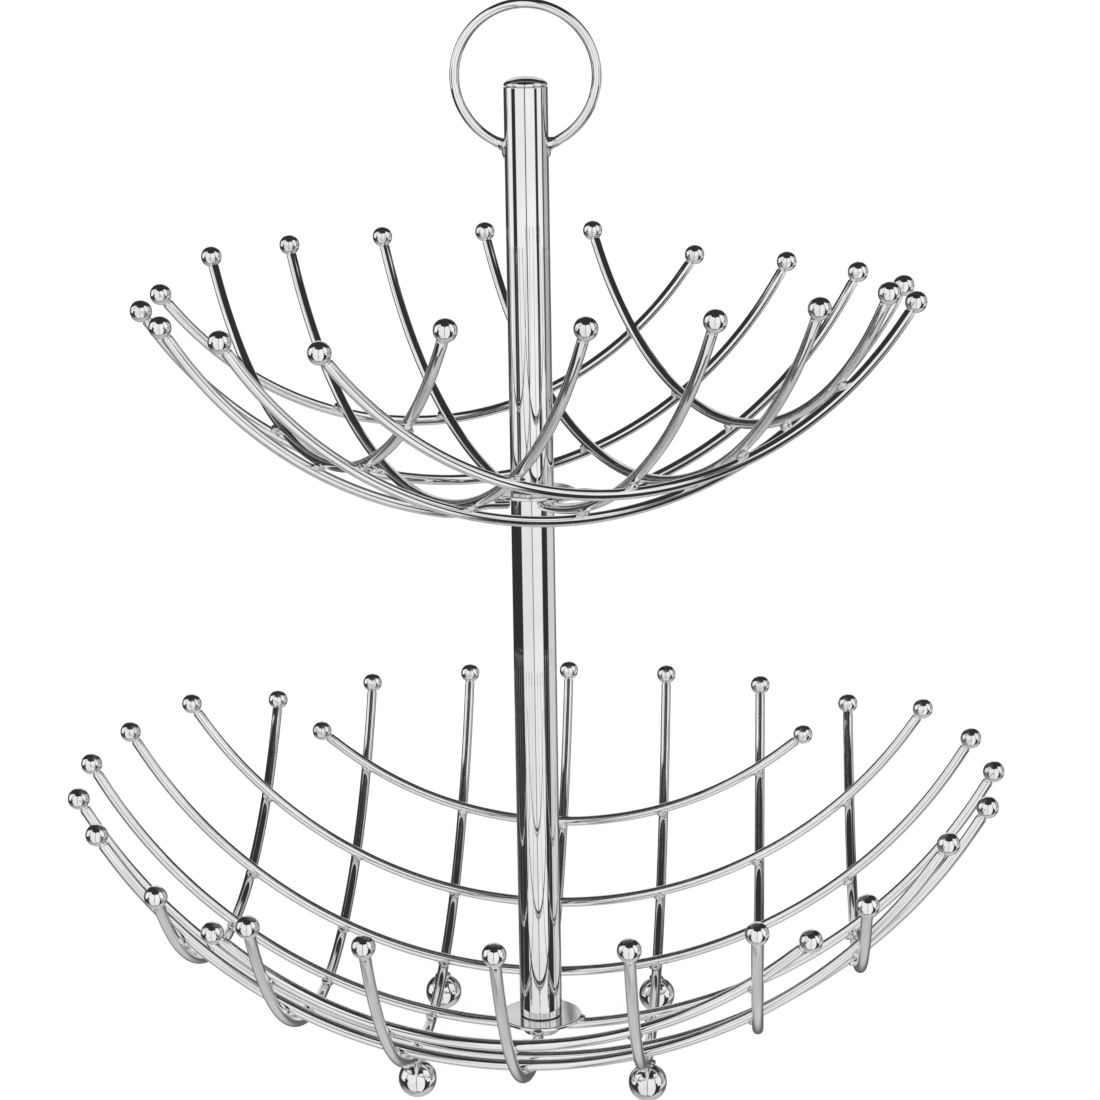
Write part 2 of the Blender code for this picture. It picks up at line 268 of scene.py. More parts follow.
# Where the ceiling starts above the horizon and the table below it, as (angle, degrees)
CEILING_EDGE = (
    (-180.0, 38.0),
    (-160.0, 36.0),
    (-154.0, 12.0),
    (-125.0, 14.0),
    (-110.0, 23.0),
    (-100.0, 32.0),
    (-84.0, 47.0),
    (-68.0, 55.0),
    (-54.0, 46.0),
    (-36.0, 41.0),
    (-14.0, 42.0),
    (-4.0, 30.0),
    (5.0, 41.0),
    (32.0, 42.0),
    (48.0, 40.0),
    (66.0, 56.0),
    (84.0, 46.0),
    (100.0, 35.0),
    (125.0, 20.0),
    (154.0, 12.0),
    (160.0, 36.0),
    (180.0, 38.0),
)
TABLE_EDGE = (
    (-180.0, 14.0),
    (-150.0, 16.0),
    (-120.0, 24.0),
    (-95.0, 30.0),
    (-75.0, 42.0),
    (-60.0, 60.0),
    (-40.0, 68.0),
    (40.0, 68.0),
    (60.0, 60.0),
    (75.0, 42.0),
    (95.0, 30.0),
    (120.0, 24.0),
    (150.0, 16.0),
    (180.0, 14.0),
)

# The table's near part lies below TABLE_CHANGE degrees, and its far part above, up to a rim
TABLE_CHANGE = -40.0
TABLE_RIM = 9.0
TABLE_RIM_GREY = 0.12
CEILING_GREY = 0.035

# How many degrees a change of grey takes on the way round the studio
BAND_BLUR = 1.2
TABLE_NEAR_BLUR = 20.0
TABLE_FAR_BLUR = 14.0

# How many degrees a change of grey on the way up reaches to each side of its middle
WALL_BLUR = 1.0
HIGH_WALL_BLUR = 4.0
CEILING_BLUR = 2.0
TABLE_CHANGE_BLUR = 10.0
TABLE_BLUR = 1.0

# The floor and the light, in metres, shares of full strength and degrees
FLOOR_SIZE = 120.0
FLOOR_GREY = 0.62
FLOOR_ROUGHNESS = 0.8
FLOOR_GLOW = 0.79
TOP_LIGHT = 0.35
TOP_LIGHT_ANGLE = 70.0

# Degrees
FULL_TURN = 360.0
HALF_TURN = 180.0
QUARTER_TURN = 90.0


# ---------------------------------------------------------------- materials


def new_material(name):
    """A material with its shader, ready for nodes."""
    material = bpy.data.materials.new(name)
    material.use_nodes = True
    tree = material.node_tree
    shader = tree.nodes["Principled BSDF"]
    shader.inputs["Metallic"].default_value = 1.0
    return material, tree, shader


def add_node(tree, kind, values=None, **settings):
    """A node with its settings, and the values of its sockets as a dict by name."""
    node = tree.nodes.new(kind)
    for key, value in settings.items():
        setattr(node, key, value)
    for socket, value in (values or {}).items():
        node.inputs[socket].default_value = value
    return node


def add_noise(tree, vector, scale, detail, roughness):
    """Noise over a piece's own coordinates, its scale in cells to a metre."""
    values = {"Scale": scale, "Detail": detail, "Roughness": roughness}
    node = add_node(tree, "ShaderNodeTexNoise", values)
    tree.links.new(vector, node.inputs["Vector"])
    return node.outputs["Fac"]


def add_range(tree, value, low, high, spread=GLOSS_SPREAD):
    """Spread a noise value over a range."""
    values = {"From Min": spread[0], "From Max": spread[1], "To Min": low, "To Max": high}
    node = add_node(tree, "ShaderNodeMapRange", values)
    tree.links.new(value, node.inputs["Value"])
    return node.outputs["Result"]


def add_ramp(tree, value, stops):
    """Turn a value into a colour along a ramp of (position, colour) stops."""
    node = add_node(tree, "ShaderNodeValToRGB")
    elements = node.color_ramp.elements
    while len(elements) > 1:
        elements.remove(elements[-1])
    for index, (position, colour) in enumerate(stops):
        element = elements[0] if index == 0 else elements.new(position)
        element.position = position
        element.color = (*colour, 1.0)
    tree.links.new(value, node.inputs["Fac"])
    return node.outputs["Color"]


def add_bumps(tree, shader, layers):
    """Stack (height, distance, strength) bumps onto a shader's normal."""
    normal = None
    for height, distance, strength in layers:
        bump = add_node(tree, "ShaderNodeBump", {"Distance": distance, "Strength": strength})
        tree.links.new(height, bump.inputs["Height"])
        if normal is not None:
            tree.links.new(normal, bump.inputs["Normal"])
        normal = bump.outputs["Normal"]
    tree.links.new(normal, shader.inputs["Normal"])


def add_wave(tree, place, values, **settings):
    """Wavy bands or rings over a piece's own coordinates."""
    wave = add_node(tree, "ShaderNodeTexWave", values, **settings)
    tree.links.new(place, wave.inputs["Vector"])
    return wave.outputs["Fac"]


def polishing_lines(tree, place, kind):
    """Faint lines left by polishing: in rings round the stem, or else along it."""
    if kind == "rings":
        return add_wave(tree, place, RING_LINES, wave_type="RINGS", rings_direction="Z")
    scale = (1.0, 1.0, LENGTHWISE_STRETCH)
    stretch = add_node(tree, "ShaderNodeMapping", {"Scale": scale})
    tree.links.new(place, stretch.inputs["Vector"])
    return add_noise(tree, stretch.outputs["Vector"], *LENGTHWISE_LINES)


def chrome_plate(name, polish, pits, lines=None):
    """Chrome plate: clouded a little in colour and gloss, with fine pits and a faint ripple.

    Polish is the (lowest, highest) roughness, and pits how strong the fine grain is.
    """
    material, tree, shader = new_material(name)
    place = add_node(tree, "ShaderNodeTexCoord").outputs["Object"]
    clouds = add_noise(tree, place, *CHROME_CLOUDS)
    grain = add_noise(tree, place, *CHROME_GRAIN)
    ripple = add_noise(tree, place, *CHROME_RIPPLE)
    tone = add_ramp(tree, clouds, CHROME_TONES)
    tree.links.new(tone, shader.inputs["Base Color"])
    smears = add_range(tree, clouds, polish[1], polish[0], CHROME_SPREAD)
    tree.links.new(smears, shader.inputs["Roughness"])
    layers = [(ripple, *CHROME_RIPPLE_BUMP), (grain, CHROME_PIT_DEPTH, pits)]
    if lines:
        layers.append((polishing_lines(tree, place, lines), *CHROME_LINE_BUMP))
    add_bumps(tree, shader, layers)
    return material


def weld_chrome(name):
    """Chrome over a weld: coarser, duller and a little burnt."""
    material, tree, shader = new_material(name)
    place = add_node(tree, "ShaderNodeTexCoord").outputs["Object"]
    clouds = add_noise(tree, place, *WELD_CLOUDS)
    grain = add_noise(tree, place, *WELD_GRAIN)
    tone = add_ramp(tree, clouds, WELD_TONES)
    tree.links.new(tone, shader.inputs["Base Color"])
    gloss = add_range(tree, grain, *WELD_POLISH)
    tree.links.new(gloss, shader.inputs["Roughness"])
    add_bumps(tree, shader, [(clouds, *WELD_CLOUD_BUMP), (grain, *WELD_GRAIN_BUMP)])
    return material


def turned_steel(name, tones):
    """Plated steel fresh from the lathe: rings of tool marks round the axis of the stem."""
    material, tree, shader = new_material(name)
    place = add_node(tree, "ShaderNodeTexCoord").outputs["Object"]
    marks = add_wave(tree, place, LATHE_MARKS, wave_type="BANDS", bands_direction="Z")
    clouds = add_noise(tree, place, *STEEL_CLOUDS)
    tone = add_ramp(tree, clouds, tones)
    tree.links.new(tone, shader.inputs["Base Color"])
    gloss = add_range(tree, clouds, *STEEL_POLISH)
    tree.links.new(gloss, shader.inputs["Roughness"])
    shader.inputs["Anisotropic"].default_value = STEEL_ANISOTROPY
    add_bumps(tree, shader, [(marks, *LATHE_MARK_BUMP), (clouds, *STEEL_CLOUD_BUMP)])
    return material


# ------------------------------------------------------------ mesh building


def finish_piece(name, bm, body, material, nodes=(), sharp_angle=SHARP_ANGLE):
    """Turn a mesh into a piece that rides on a body and stands for its CAD nodes, if any."""
    bmesh.ops.recalc_face_normals(bm, faces=bm.faces)
    mesh = bpy.data.meshes.new(name)
    bm.to_mesh(mesh)
    bm.free()
    mesh.shade_smooth()
    mesh.set_sharp_from_angle(angle=math.radians(sharp_angle))
    mesh.materials.append(material)
    piece = bpy.data.objects.new(name, mesh)
    bpy.context.scene.collection.objects.link(piece)
    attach(piece, body)
    if nodes:
        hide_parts(*nodes)


def arc(centre, radius, start, end, steps):
    """Points of (radius, height) on an arc, its angles in degrees."""
    points = []
    for step in range(steps + 1):
        angle = math.radians(start + (end - start) * step / steps)
        points.append((centre[0] + radius * math.cos(angle), centre[1] + radius * math.sin(angle)))
    return points


def rounded_ring(inner_r, outer_r, bottom, top, edge_r):
    """The closed section of a tube or disc with rounded edges."""
    low, high = bottom + edge_r, top - edge_r
    near, far = inner_r + edge_r, outer_r - edge_r
    return (
        arc((far, low), edge_r, -90.0, 0.0, EDGE_STEPS)
        + arc((far, high), edge_r, 0.0, 90.0, EDGE_STEPS)
        + arc((near, high), edge_r, 90.0, 180.0, EDGE_STEPS)
        + arc((near, low), edge_r, 180.0, 270.0, EDGE_STEPS)
    )


def held(profile, closed):
    """Add points close to the ends of long straights, so that they shade flat."""
    points = []
    following = profile[1:] + (profile[:1] if closed else [])
    for here, there in zip(profile, following):
        points.append(here)
        here, there = Vector(here), Vector(there)
        run = there - here
        if run.length > LONG_STRAIGHT:
            step = run.normalized() * EDGE_SUPPORT
            points += [tuple(here + step), tuple(there - step)]
    if not closed:
        points.append(profile[-1])
    return points


def turned(profile, closed=True):
    """Turn a profile of (radius, height) points about Z."""
    profile = held(profile, closed)
    bm = bmesh.new()
    verts = [bm.verts.new((radius, 0.0, height)) for radius, height in profile]
    edges = [bm.edges.new(pair) for pair in zip(verts, verts[1:])]
    if closed:
        edges.append(bm.edges.new((verts[-1], verts[0])))
    bmesh.ops.spin(
        bm,
        geom=verts + edges,
        cent=(0.0, 0.0, 0.0),
        axis=(0.0, 0.0, 1.0),
        angle=2.0 * math.pi,
        steps=ROUND_STEPS,
        use_merge=True,
    )
    bmesh.ops.remove_doubles(bm, verts=bm.verts, dist=MERGE_DISTANCE)
    return bm


def add_skin(bm, stations, start_point=None, end_point=None):
    """Skin rings of (centre, across, over, radius) along a path, closed at both ends.

    An end is closed by a flat face, or by a fan to its point if it has one.
    """
    rings = []
    for centre, across, over, radius in stations:
        ring = []
        for index in range(WIRE_SIDES):
            angle = 2.0 * math.pi * index / WIRE_SIDES
            offset = across * math.cos(angle) + over * math.sin(angle)
            ring.append(bm.verts.new(centre + offset * radius))
        rings.append(ring)
    for ring, following in zip(rings, rings[1:]):
        for index in range(WIRE_SIDES):
            beside = (index + 1) % WIRE_SIDES
            bm.faces.new((ring[index], ring[beside], following[beside], following[index]))
    for ring, point in ((rings[0], start_point), (rings[-1], end_point)):
        if point is None:
            bm.faces.new(ring)
            continue
        tip = bm.verts.new(point)
        for index in range(WIRE_SIDES):
            bm.faces.new((ring[index], ring[(index + 1) % WIRE_SIDES], tip))


def add_weld(bm, place, axes, size, seed):
    """A lumpy bead of weld: a ball stretched along three axes, roughened by noise."""
    made = bmesh.ops.create_icosphere(bm, subdivisions=WELD_SUBDIVISIONS, radius=1.0)
    turn = Matrix(axes).transposed()
    start = Vector(seed * stride for stride in SEED_STRIDES)
    for vert in made["verts"]:
        stretched = Vector(vert.co[index] * size[index] for index in range(3))
        lump = 1.0 + WELD_LUMPS * noise.noise(stretched / WELD_LUMP_SIZE + start)
        vert.co = place + turn @ (stretched * lump)


# ------------------------------------------------------------------- wires


def smooth_step(value):
    """Ease from 0 to 1."""
    clipped = min(max(value, 0.0), 1.0)
    return clipped * clipped * (3.0 - 2.0 * clipped)


class Layer:
    """One layer of a bowl: parallel wires on a sphere centred above the bowl.

    A wire runs along the layer's own X at a constant Y offset.  Heights are
    measured from the lowest point of the inner layer's wire axes.
    """

    def __init__(self, dish_r, rim_r, rows, outer):
        self.dish_r = dish_r
        self.rim_r = rim_r
        middle = (rows - 1) / 2.0
        angles = [(row - middle) * WIRE_PITCH / dish_r for row in range(rows)]
        self.offsets = [dish_r * math.sin(angle) for angle in angles]
        self.outer = outer

    def sphere_r(self, along, offset):
        """The outer layer lies one wire below, but its cut wires step up at the hub."""
        if not self.outer:
            return self.dish_r
        if offset != 0.0:
            return self.dish_r + LAYER_STEP
        ramp = (abs(along) - JOGGLE_INNER) / (JOGGLE_OUTER - JOGGLE_INNER)
        return self.dish_r + LAYER_STEP * smooth_step(ramp)

    def point(self, along, offset):
        """A point of a wire's axis."""
        radius = self.sphere_r(along, offset)
        height = self.dish_r - math.sqrt(radius**2 - along**2 - offset**2)
        return Vector((along, offset, height))

    def tangent(self, along, offset):
        """The direction of a wire's axis."""
        ahead = self.point(along + TANGENT_STEP, offset)
        behind = self.point(along - TANGENT_STEP, offset)
        return (ahead - behind).normalized()

    def reach(self, offset):
        """How far out a wire's ball stands, on the round rim."""
        return math.sqrt(self.rim_r**2 - offset**2)


def ball_end(layer, offset, reach, side):
    """Rings from a wire's shoulder over its neck and ball, and the ball's tip.

    The side is 1 or -1: which end of the wire the ball is on.
    """
    centre = layer.point(side * reach, offset)
    outward = layer.tangent(side * reach, offset) * side
    over = outward.cross(Y_AXIS) * side
    neck_back = math.sqrt(BALL_R**2 - NECK_R**2)
    shoulder_end = neck_back + NECK_LENGTH
    profile = []
    for step in range(EDGE_STEPS + 1):
        angle = math.pi / 2.0 * step / EDGE_STEPS
        back = shoulder_end + SHOULDER_R * (1.0 - math.sin(angle))
        profile.append((-back, WIRE_R - SHOULDER_R * (1.0 - math.cos(angle))))
    profile.append((-shoulder_end, NECK_R))
    start = math.asin(-neck_back / BALL_R)
    for step in range(BALL_RINGS):
        angle = start + (math.pi / 2.0 - start) * step / BALL_RINGS
        profile.append((BALL_R * math.sin(angle), BALL_R * math.cos(angle)))
    rings = [(centre + outward * along, Y_AXIS, over, radius) for along, radius in profile]
    return rings, centre + outward * BALL_R


def wire_mesh(layer, offset, reach, cut=False):
    """A wire with a ball at each end, or from the hub to one ball if it is cut."""
    neck = reach - BALL_R - SHOULDER_START
    start = CUT_WIRE_START + SHOULDER_R if cut else -neck
    if cut:
        over = layer.tangent(start, offset).cross(Y_AXIS)
        stations = [(layer.point(CUT_WIRE_START, offset), Y_AXIS, over, WIRE_R - SHOULDER_R)]
        start_tip = None
    else:
        rings, start_tip = ball_end(layer, offset, reach, -1)
        stations = list(reversed(rings))
    steps = math.ceil((neck - start) / WIRE_STEP)
    for step in range(steps + 1):
        along = start + (neck - start) * step / steps
        over = layer.tangent(along, offset).cross(Y_AXIS)
        stations.append((layer.point(along, offset), Y_AXIS, over, WIRE_R))
    rings, end_tip = ball_end(layer, offset, reach, 1)
    bm = bmesh.new()
    add_skin(bm, stations + rings, start_tip, end_tip)
    return bm


def disc_underside(dish_r, disc_r):
    """Height of a disc's underside above its bowl's inner wire axes."""
    drop = math.sqrt(dish_r**2 - disc_r**2)
    slope = math.atan2(disc_r, drop)
    return dish_r - drop + WIRE_R / math.cos(slope) + GAP


class Bowl:
    """A wire bowl: where it stands, its two layers, and how far each wire reaches.

    The cross wires run along the bowl's X.  The long wires lie under them along its Y.
    """

    def __init__(self, prefix, body, turn, dish_r, rim_r, rows, short_reach=None):
        disc_low, disc_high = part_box(f"{prefix}_disc")
        self.prefix = prefix
        self.body = body
        self.dish_r = dish_r
        self.rows = rows
        self.short_reach = short_reach
        self.disc_r = disc_high.y
        self.disc_bottom = disc_low.z
        self.height = disc_low.z - disc_underside(dish_r, self.disc_r)
        self.place = Matrix.Translation((0.0, 0.0, self.height)) @ Matrix.Rotation(turn, 4, "Z")
        self.cross = Layer(dish_r, rim_r, rows, outer=False)
        self.long = Layer(dish_r, rim_r, rows, outer=True)

    def reach(self, kind, row):
        """How far out the balls of a wire stand."""
        if kind == "cross" and self.short_reach and row in (0, self.rows - 1):
            return self.short_reach
        return self.cross.reach(self.cross.offsets[row])

    def add_wires(self, material):
        """Both layers, the middle wire of each cut in two at the hub."""
        kinds = (
            ("cross", self.cross, 0.0, ("right", "left")),
            ("long", self.long, math.pi / 2.0, ("back", "front")),
        )
        for kind, layer, turn, halves in kinds:
            for row, offset in enumerate(layer.offsets):
                node = f"{self.prefix}_{kind}_wire_{row + 1}"
                reach = self.reach(kind, row)
                if row == self.rows // 2:
                    for half, side in enumerate(halves):
                        bm = wire_mesh(layer, 0.0, reach, cut=True)
                        self.add_wire(f"{node}_{side}", bm, turn + half * math.pi, material)
                    continue
                self.add_wire(node, wire_mesh(layer, offset, reach), turn, material)

    def add_wire(self, node, bm, turn, material):
        """Put one wire in its place in the bowl."""
        bm.transform(self.place @ Matrix.Rotation(turn, 4, "Z"))
        finish_piece(f"{node}_shown", bm, self.body, material, [node])

    def crossings(self):
        """Each place where a cross wire touches a long wire: the place and the outward normal."""
        for row, y in enumerate(self.cross.offsets):
            for column, x in enumerate(self.long.offsets):
                if row == column == self.rows // 2:
                    continue
                if abs(x) > self.reach("cross", row) - BALL_R:
                    continue
                if abs(y) > self.reach("long", column) - BALL_R:
                    continue
                touch = self.cross.point(x * (1.0 - LAYER_STEP / self.dish_r), y)
                outward = (touch - Vector((0.0, 0.0, self.dish_r))).normalized()
                yield touch + outward * (LAYER_STEP / 2.0), outward

    def add_welds(self, material):
        """The beads that hold the layers together and the cut wires to the disc."""
        bm = bmesh.new()
        for seed, (place, outward) in enumerate(self.crossings()):
            add_weld(bm, place, weld_axes(outward), CROSSING_WELD, seed)
        rim_height = self.disc_bottom - self.height
        for quarter in range(4):
            turn = Matrix.Rotation(quarter * math.pi / 2.0, 3, "Z")
            place = turn @ Vector((self.disc_r, 0.0, rim_height))
            axes = (turn @ X_AXIS, turn @ Y_AXIS, Z_AXIS)
            add_weld(bm, place, axes, RIM_WELD, RIM_SEED + quarter)
        bm.transform(self.place)
        name = f"{self.prefix}_bowl_welds"
        finish_piece(name, bm, self.body, material)


def weld_axes(outward):
    """The axes of a weld on a bowl: two directions along its surface, and the one out of it."""
    first = Y_AXIS.cross(outward).normalized()
    return first, outward.cross(first), outward


# -------------------------------------------------------------------- feet


def add_feet(bowl, foot_material, weld_material):
    """Ball feet with a small flat underneath, and the bead that holds each to its wire."""
    welds = bmesh.new()
    for seed, (depth, side) in enumerate(product(("front", "back"), ("left", "right"))):
        node = f"foot_{depth}_{side}"
        low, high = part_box(node)
        middle = (low + high) / 2.0
        radius = math.sqrt(FOOT_FLAT_R**2 + (high.z - (high.x - low.x) / 2.0) ** 2)
        centre = high.z - radius
        lowest = math.degrees(math.asin(-centre / radius))
        profile = [(0.0, 0.0)] + arc((0.0, centre), radius, lowest, 90.0, FOOT_RINGS)
        profile[-1] = (0.0, high.z)
        bm = turned(profile, closed=False)
        bm.transform(Matrix.Translation((middle.x, middle.y, 0.0)))
        name = f"{node}_shown"
        finish_piece(name, bm, bowl.body, foot_material, [node], FOOT_SHARP_ANGLE)

        # The foot hangs under a long wire, whose own X is the bowl's Y
        ball = Vector((middle.x, middle.y, centre))
        local = ball - Vector((0.0, 0.0, bowl.height))
        wire = bowl.long.point(local.y, -local.x)
        wire = Vector((local.x, local.y, wire.z))
        tangent = bowl.long.tangent(local.y, -local.x)
        tangent = Vector((0.0, tangent.x, tangent.z))
        up = wire - local
        up = (up - tangent * up.dot(tangent)).normalized()
        place = ball + up * (radius + GAP / 2.0)
        add_weld(welds, place, (up.cross(tangent), tangent, up), FOOT_WELD, FOOT_SEED + seed)
    finish_piece("foot_welds", welds, bowl.body, weld_material)


# --------------------------------------------------------------- hub and stem


def add_ring_piece(node, body, material, inner_r, edge_r):
    """A tube, disc or plug with rounded edges, as big as its CAD node."""
    low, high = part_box(node)
    bm = turned(rounded_ring(inner_r, high.y, low.z, high.z, edge_r))
    finish_piece(f"{node}_shown", bm, body, material, [node])


def add_tube(node, body, material):
    """A stem tube."""
    outer_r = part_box(node)[1].y
    add_ring_piece(node, body, material, outer_r - TUBE_WALL, EDGE_R)


def add_threaded_rod(bm, bottom, top):
    """A rod with a screw thread and chamfered ends."""
    turns = (top - bottom) / THREAD_PITCH
    rings = round(turns * THREAD_RINGS_PER_TURN)
    levels = []
    for level in range(rings + 1):
        share = level / rings
        height = bottom + (top - bottom) * share
        from_end = min(height - bottom, top - height)
        cut = THREAD_R - THREAD_DEPTH + from_end
        ring = []
        for side in range(THREAD_SIDES):
            turn = side / THREAD_SIDES
            phase = (share * turns - turn) % 1.0
            crest = min(1.0, THREAD_FLANK * (1.0 - abs(2.0 * phase - 1.0)))
            here = min(THREAD_R - THREAD_DEPTH * (1.0 - crest), cut)
            angle = 2.0 * math.pi * turn
            ring.append(bm.verts.new((here * math.cos(angle), here * math.sin(angle), height)))
        levels.append(ring)
    for ring, following in zip(levels, levels[1:]):
        for side in range(THREAD_SIDES):
            beside = (side + 1) % THREAD_SIDES
            bm.faces.new((ring[side], ring[beside], following[beside], following[side]))
    bm.faces.new(list(reversed(levels[0])))
    bm.faces.new(levels[-1])


def add_base_bolt(body, material):
    """The bolt under the lower disc: a hexagon head with a turned chamfer, and its thread.

    The threaded rod starts inside the head, so that the two are joined.
    """
    node = "base_bolt"
    low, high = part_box(node)
    head_top = low.z + BOLT_HEAD
    flat = BOLT_FLATS / 2.0
    face_r = flat * BOLT_FACE_SHARE
    slope = math.tan(math.radians(BOLT_CHAMFER_ANGLE))
    bm = bmesh.new()
    face, edge, top = [], [], []
    for step in range(ROUND_STEPS):
        angle = 2.0 * math.pi * step / ROUND_STEPS
        from_flat = (angle + math.pi / 6.0) % (math.pi / 3.0) - math.pi / 6.0
        corner = flat / math.cos(from_flat)
        out = Vector((math.sin(angle), math.cos(angle), 0.0))
        edge_height = low.z + (corner - face_r) * slope
        face.append(bm.verts.new(out * face_r + Vector((0.0, 0.0, low.z))))
        edge.append(bm.verts.new(out * corner + Vector((0.0, 0.0, edge_height))))
        top.append(bm.verts.new(out * corner + Vector((0.0, 0.0, head_top))))
    for ring, following in ((face, edge), (edge, top)):
        for step in range(ROUND_STEPS):
            beside = (step + 1) % ROUND_STEPS
            bm.faces.new((ring[step], ring[beside], following[beside], following[step]))
    bm.faces.new(face)
    bm.faces.new(top)
    add_threaded_rod(bm, head_top - THREAD_PITCH, high.z)
    finish_piece(f"{node}_shown", bm, body, material, [node], BOLT_SHARP_ANGLE)


def add_joining_stud(body, material):
    """The threaded stud that joins the two tubes."""
    node = "joining_stud"
    low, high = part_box(node)
    bm = bmesh.new()
    add_threaded_rod(bm, low.z, high.z)
    finish_piece(f"{node}_shown", bm, body, material, [node])


def add_cap(body, material):
    """The domed cap: a spigot inside the tube, a narrow lip and an elliptical dome."""
    node = "top_cap"
    low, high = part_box(node)
    outer_r = high.y
    tube_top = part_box("upper_tube")[1].z
    spigot_r = outer_r - TUBE_WALL - GAP
    seat = tube_top + GAP
    dome_foot = seat + CAP_LIP_R
    profile = [
        (0.0, low.z),
        (spigot_r - EDGE_R, low.z),
        (spigot_r, low.z + EDGE_R),
        (spigot_r, seat),
    ]
    profile += arc((outer_r - CAP_LIP_R, dome_foot), CAP_LIP_R, -90.0, 0.0, EDGE_STEPS)
    for across, up in arc((0.0, 0.0), 1.0, 0.0, 90.0, DOME_RINGS)[1:-1]:
        profile.append((outer_r * across, dome_foot + (high.z - dome_foot) * up))
    profile.append((0.0, high.z))
    bm = turned(profile, closed=False)
    finish_piece(f"{node}_shown", bm, body, material, [node], CAP_SHARP_ANGLE)


def add_ring_handle(body, material, weld_material):
    """The wire ring, and the flared welds where its ends meet the tube."""
    centre = Vector((0.0, 0.0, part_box("top_cap")[1].z))
    tube_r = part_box("upper_tube")[1].y
    half_gap = math.asin((tube_r + RING_END_STANDOFF) / RING_R)
    sweep = 2.0 * math.pi - 2.0 * half_gap

    def station(share, radius):
        angle = -math.pi / 2.0 + half_gap + sweep * share
        outward = Vector((math.cos(angle), 0.0, math.sin(angle)))
        return centre + outward * RING_R, outward, Y_AXIS, radius

    bm = bmesh.new()
    add_skin(bm, [station(step / RING_STEPS, RING_WIRE_R) for step in range(RING_STEPS + 1)])
    finish_piece("ring_handle_shown", bm, body, material, ["ring_handle"])

    bm = bmesh.new()
    path = RING_R * sweep
    for end, inward in ((0.0, 1.0), (1.0, -1.0)):
        stations = []
        for step in range(RING_WELD_RINGS + 1):
            share = step / RING_WELD_RINGS
            along = RING_WELD_LENGTH * share - RING_WELD_TUCK * (1.0 - share)
            flare = RING_WIRE_R + (RING_WELD_R - RING_WIRE_R) * (1.0 - share) ** 2
            stations.append(station(end + inward * along / path, flare))
        add_skin(bm, stations)
        foot = stations[0][0]
        side = math.copysign(1.0, foot.x)
        place = Vector((side * tube_r, 0.0, foot.z - RING_RUN_DROP))
        add_weld(bm, place, (X_AXIS, Y_AXIS, Z_AXIS), RING_RUN, RING_SEED + end)
    for vert in bm.verts:
        lump = noise.noise(vert.co / WELD_LUMP_SIZE)
        vert.co += (vert.co - centre).normalized() * RING_WELD_LUMPS * lump
    finish_piece("ring_welds", bm, body, weld_material)


# ------------------------------------------------------------------- studio


def add_camera():
    """The camera, where the photograph was taken from."""
    data = bpy.data.cameras.new("camera")
    data.sensor_width = CAMERA_SENSOR
    data.lens = CAMERA_LENS
    camera = bpy.data.objects.new("camera", data)
    bpy.context.scene.collection.objects.link(camera)
    turn = (
        Matrix.Rotation(CAMERA_YAW, 4, "Z")
        @ Matrix.Rotation(math.pi / 2.0 - CAMERA_DOWN, 4, "X")
        @ Matrix.Rotation(CAMERA_ROLL, 4, "Z")
    )
    camera.matrix_world = Matrix.Translation(CAMERA_PLACE) @ turn
    bpy.context.scene.camera = camera


def stop(angle, grey):
    """A ramp stop for a grey at an angle round the studio, in degrees."""
    return (angle + HALF_TURN) / FULL_TURN, (grey,) * 3


def bands(edges, blur=BAND_BLUR):
    """Ramp stops for bands of grey round the studio, from (start angle, grey) pairs."""
    stops = [(0.0, (edges[0][1],) * 3)]
    for (_, before), (start, after) in zip(edges, edges[1:]):
        stops.append(stop(start - blur / 2.0, before))
        stops.append(stop(start + blur / 2.0, after))
    stops.append((1.0, (edges[-1][1],) * 3))
    return stops


def slopes(points):
    """Ramp stops for a height that changes evenly round the studio, from degrees."""
    return [stop(angle, height / QUARTER_TURN) for angle, height in points]


